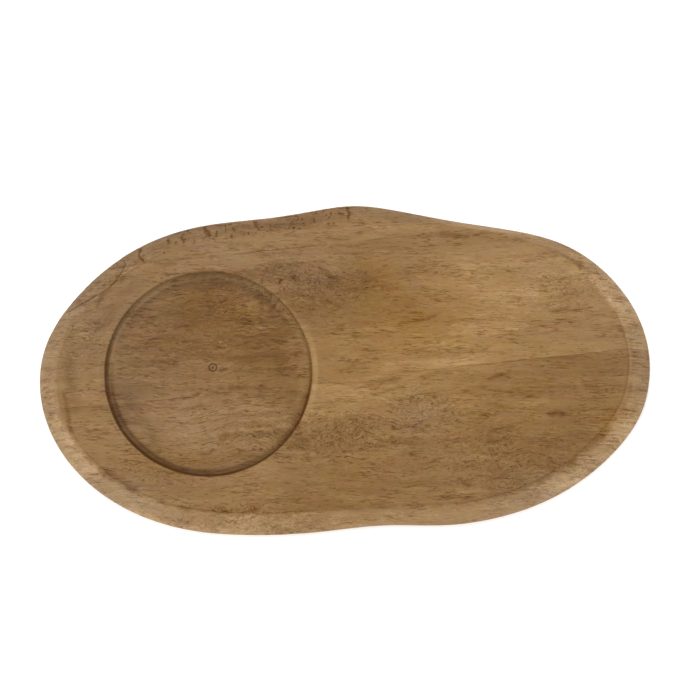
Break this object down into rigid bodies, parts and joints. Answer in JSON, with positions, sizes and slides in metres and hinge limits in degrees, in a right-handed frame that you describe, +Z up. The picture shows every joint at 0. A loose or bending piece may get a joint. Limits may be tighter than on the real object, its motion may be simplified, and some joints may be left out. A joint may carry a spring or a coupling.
{
  "type": "chip and dip board",
  "caption": "Free-form oval wooden serving board, edge-glued from staves, with a rounded rim, a natural back edge and a round recess that seats a dip bowl.",
  "frame": {"origin": "on the table, under the middle of the board's bounding box", "axes": "+X along the board away from the dip recess, +Y towards the natural back edge, +Z up from the table"},
  "size_m": [0.3796, 0.2076, 0.018],
  "materials": {
    "oiled_wood": "oiled, sanded smooth"
  },
  "bodies": {
    "root": {"back_stave": "oiled_wood", "middle_stave": "oiled_wood", "front_stave": "oiled_wood"}
  },
  "joints": []
}
